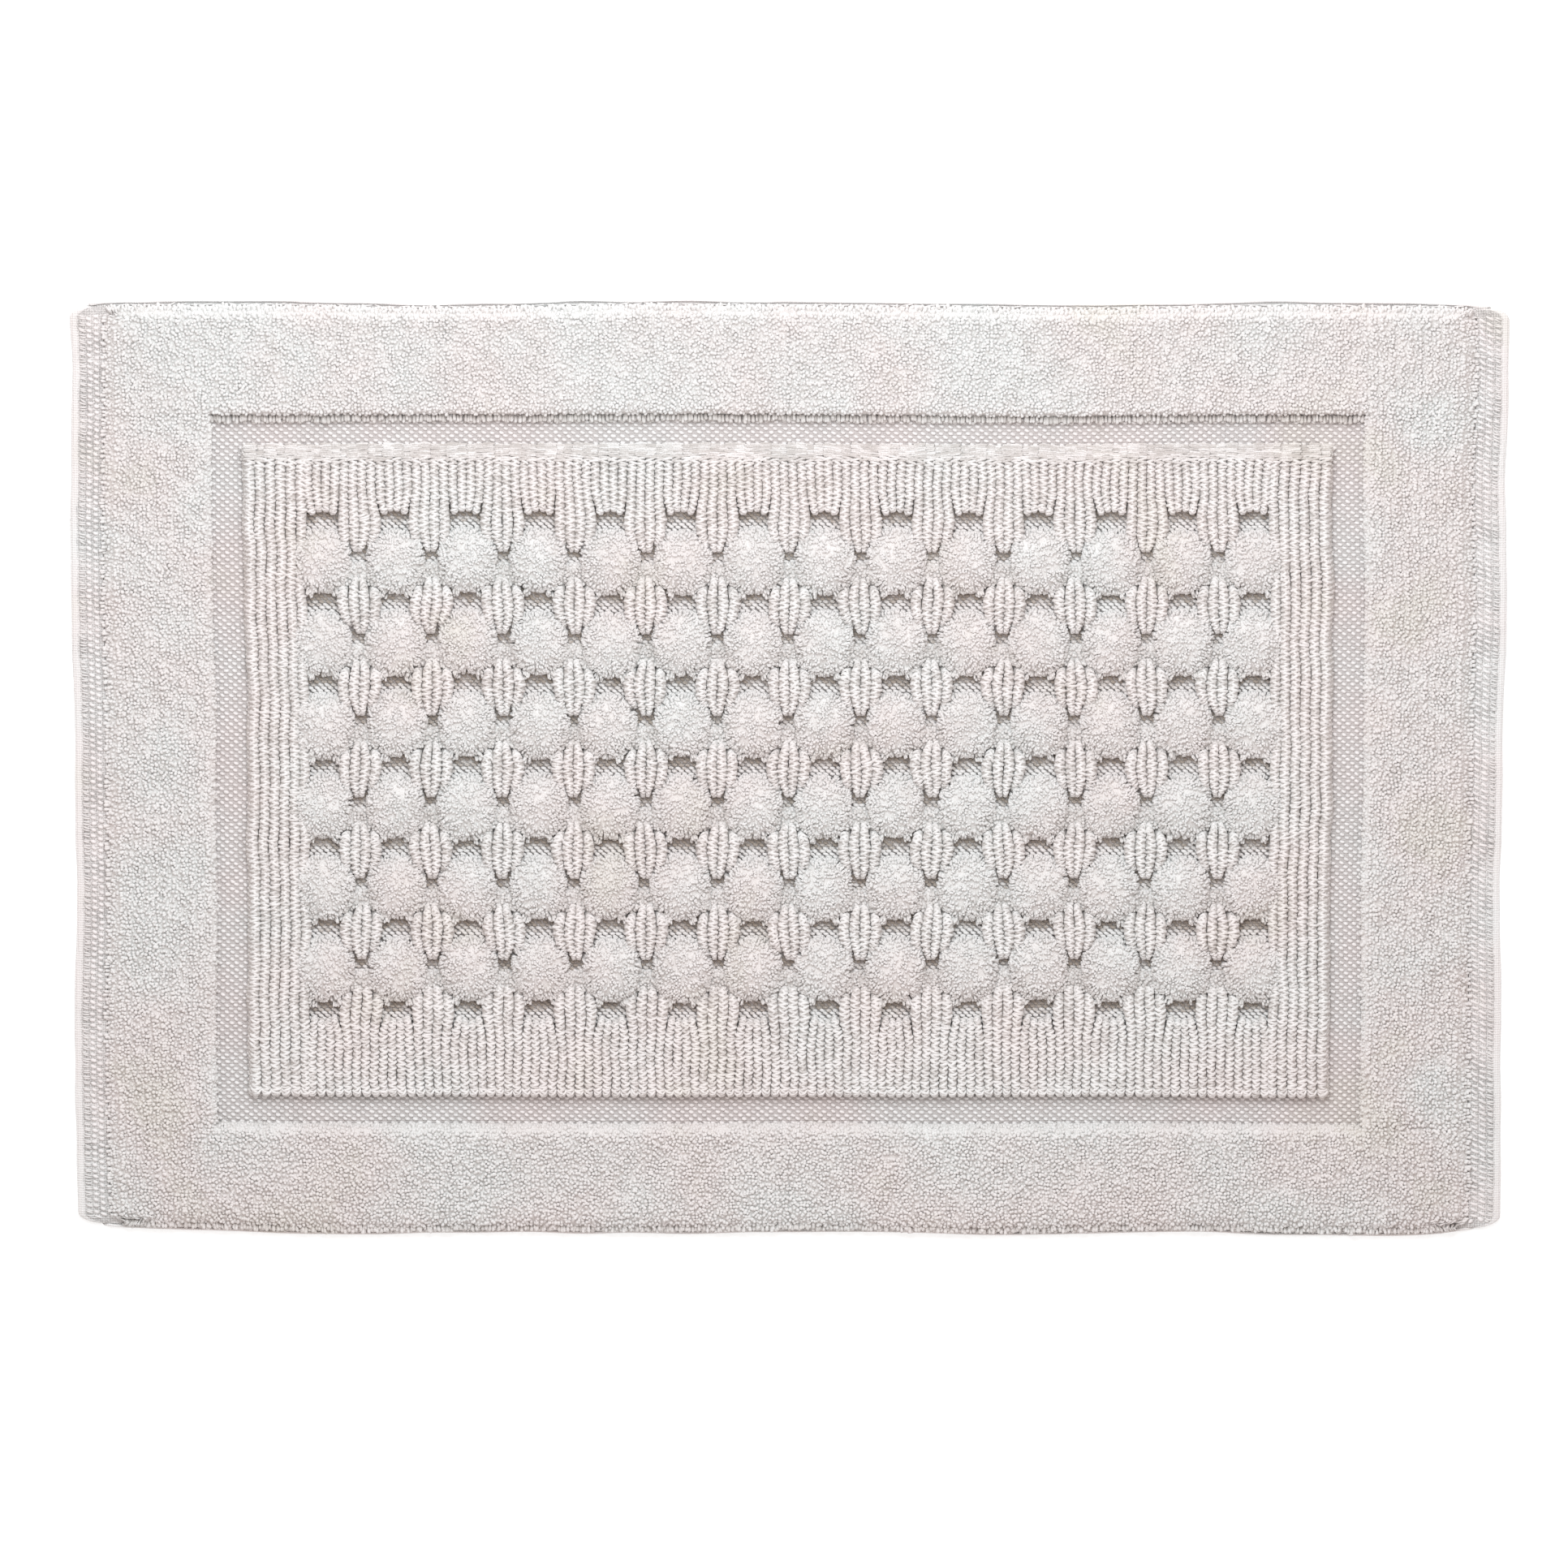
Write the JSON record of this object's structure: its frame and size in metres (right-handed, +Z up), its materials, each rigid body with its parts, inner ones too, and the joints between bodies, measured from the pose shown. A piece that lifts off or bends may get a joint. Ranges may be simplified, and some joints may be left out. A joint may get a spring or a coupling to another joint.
{
  "type": "bath mat",
  "caption": "Rectangular tufted cotton bath mat with a sheared pile border, a flat woven channel and a raised panel of ribbed loops and round cut-pile pebbles.",
  "frame": {"origin": "centre of the underside, on the floor", "axes": "+X along the long side, +Y towards the back long edge, +Z up out of the pile"},
  "size_m": [0.762, 0.508, 0.0145],
  "materials": {
    "cut_pile": "sheared cotton cut pile, matt, with fine random tuft grain",
    "loop_pile": "uncut cotton loops in narrow ribs, matt",
    "ground_weave": "flat woven cotton ground with raised dots, matt",
    "hem_cloth": "folded flat woven cotton selvedge, matt",
    "hem_thread": "twisted cotton sewing thread, slight sheen",
    "latex": "thin sprayed latex coat, matt and slightly pebbled"
  },
  "bodies": {
    "root": {"latex_backcoat": "latex", "ground_cloth": "ground_weave", "hem_left": "hem_cloth", "hem_right": "hem_cloth", "hem_front": "hem_cloth", "hem_back": "hem_cloth", "hem_thread_left": "hem_thread", "hem_thread_right": "hem_thread", "hem_thread_front": "hem_thread", "hem_thread_back": "hem_thread", "border_pile_left": "cut_pile", "border_pile_right": "cut_pile", "border_pile_front": "cut_pile", "border_pile_back": "cut_pile", "loop_margin_left": "loop_pile", "loop_margin_right": "loop_pile", "loop_margin_front": "loop_pile", "loop_margin_back": "loop_pile", "pebble_row_1": "cut_pile", "pebble_row_2": "cut_pile", "pebble_row_3": "cut_pile", "pebble_row_4": "cut_pile", "pebble_row_5": "cut_pile", "pebble_row_6": "cut_pile", "loop_lozenge_row_1": "loop_pile", "loop_lozenge_row_2": "loop_pile", "loop_lozenge_row_3": "loop_pile", "loop_lozenge_row_4": "loop_pile", "loop_lozenge_row_5": "loop_pile"}
  },
  "joints": []
}
